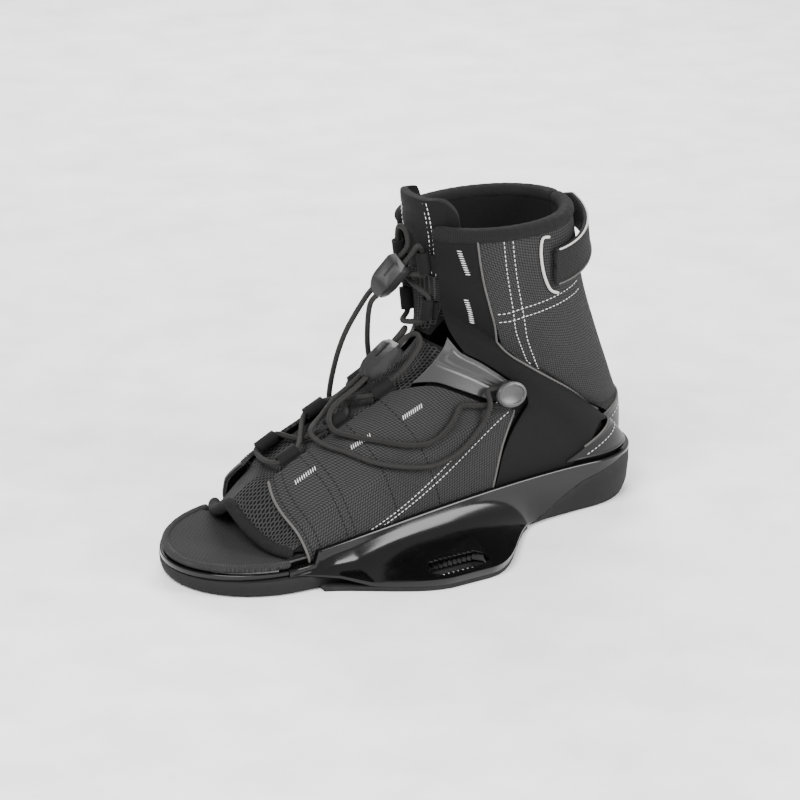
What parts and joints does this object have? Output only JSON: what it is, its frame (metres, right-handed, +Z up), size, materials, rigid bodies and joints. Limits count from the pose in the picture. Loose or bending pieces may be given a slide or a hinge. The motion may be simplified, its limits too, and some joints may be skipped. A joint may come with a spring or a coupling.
{
  "type": "wakeboard binding",
  "caption": "Open-toe wakeboard boot on a moulded chassis with toothed mounting wings, laced fabric upper, lace locks, lace buttons and a heel pull strap.",
  "frame": {"origin": "centre of the underside of the base, on the plane it rests on", "axes": "+X to the toe, +Y to the boot's left, +Z up"},
  "size_m": [0.292, 0.1764, 0.1907],
  "materials": {
    "base_foam": "matt closed-cell foam",
    "chassis_plastic": "polished moulded nylon",
    "board": "pressed fibre board",
    "footbed_cloth": "textured fabric on foam",
    "steel": "plated",
    "vamp_mesh": "open sandwich mesh",
    "binding_tape": "soft padded tape",
    "liner_foam": "brushed lining on foam",
    "woven_panel": "fine woven synthetic",
    "saddle_plastic": "satin moulding",
    "quarter_cloth": "smooth matt synthetic leather",
    "counter_plastic": "semi-gloss moulding",
    "tongue_cloth": "smooth neoprene",
    "button_plastic": "satin",
    "webbing": "woven tape",
    "lock_plastic": "satin moulding",
    "slider_plastic": "satin moulding",
    "piping": "pale piping",
    "lace_cord": "braided cord"
  },
  "bodies": {
    "boot": {"base_pad": "base_foam", "chassis": "chassis_plastic", "lasting_board": "board", "footbed": "footbed_cloth", "upper_screws": "steel", "t_nuts": "steel", "mesh_vamp": "vamp_mesh", "toe_binding": "binding_tape", "liner_left": "liner_foam", "liner_right": "liner_foam", "collar_binding_left": "binding_tape", "collar_binding_right": "binding_tape", "forefoot_panel_left": "woven_panel", "forefoot_panel_right": "woven_panel", "flex_saddle_left": "saddle_plastic", "flex_saddle_right": "saddle_plastic", "quarter_panel_left": "quarter_cloth", "quarter_panel_right": "quarter_cloth", "collar_panel_left": "woven_panel", "collar_panel_right": "woven_panel", "heel_counter": "counter_plastic", "lace_button_left": "button_plastic", "lace_button_right": "button_plastic", "button_rivet_left": "steel", "button_rivet_right": "steel", "lace_loop_left_1": "webbing", "lace_loop_left_2": "webbing", "lace_loop_left_3": "webbing", "lace_loop_left_4": "webbing", "lace_loop_left_5": "webbing", "lace_loop_right_1": "webbing", "lace_loop_right_2": "webbing", "lace_loop_right_3": "webbing", "lace_loop_right_4": "webbing", "lace_loop_right_5": "webbing", "strap_slot_trim_left": "piping", "strap_slot_trim_right": "piping", "lower_lace_laced": "lace_cord", "lower_lace_tail": "lace_cord", "upper_lace_laced": "lace_cord", "upper_lace_tail": "lace_cord"},
    "tongue": {"tongue": "tongue_cloth"},
    "pull_strap": {"heel_pull_strap": "webbing"},
    "lower_lock": {"lower_lock_body": "lock_plastic"},
    "lower_slider": {"lower_lock_slider": "slider_plastic"},
    "upper_lock": {"upper_lock_body": "lock_plastic"},
    "upper_slider": {"upper_lock_slider": "slider_plastic"}
  },
  "joints": [
    {"name": "tongue_swing", "type": "hinge", "parent": "boot", "child": "tongue", "pos_m": [-0.006, 0, 0.115], "axis": [0, 1, 0], "range_deg": [-10, 0], "stiffness_Nm_per_rad": 0.05},
    {"name": "heel_pull_swing", "type": "hinge", "parent": "boot", "child": "pull_strap", "pos_m": [-0.072, 0, 0.15], "axis": [0, 1, 0], "range_deg": [-3, 12], "stiffness_Nm_per_rad": 0.03},
    {"name": "lower_lock_slide", "type": "slide", "parent": "boot", "child": "lower_lock", "axis": [0.8192, 0, -0.5736], "range_m": [-0.005, 0.005]},
    {"name": "lower_slider_slide", "type": "slide", "parent": "lower_lock", "child": "lower_slider", "axis": [0.8192, 0, -0.5736], "range_m": [-0.003, 0]},
    {"name": "upper_lock_slide", "type": "slide", "parent": "boot", "child": "upper_lock", "axis": [0.3868, -0.461, -0.7986], "range_m": [-0.002, 0.006]},
    {"name": "upper_slider_slide", "type": "slide", "parent": "upper_lock", "child": "upper_slider", "axis": [0.3868, -0.461, -0.7986], "range_m": [-0.003, 0]}
  ]
}
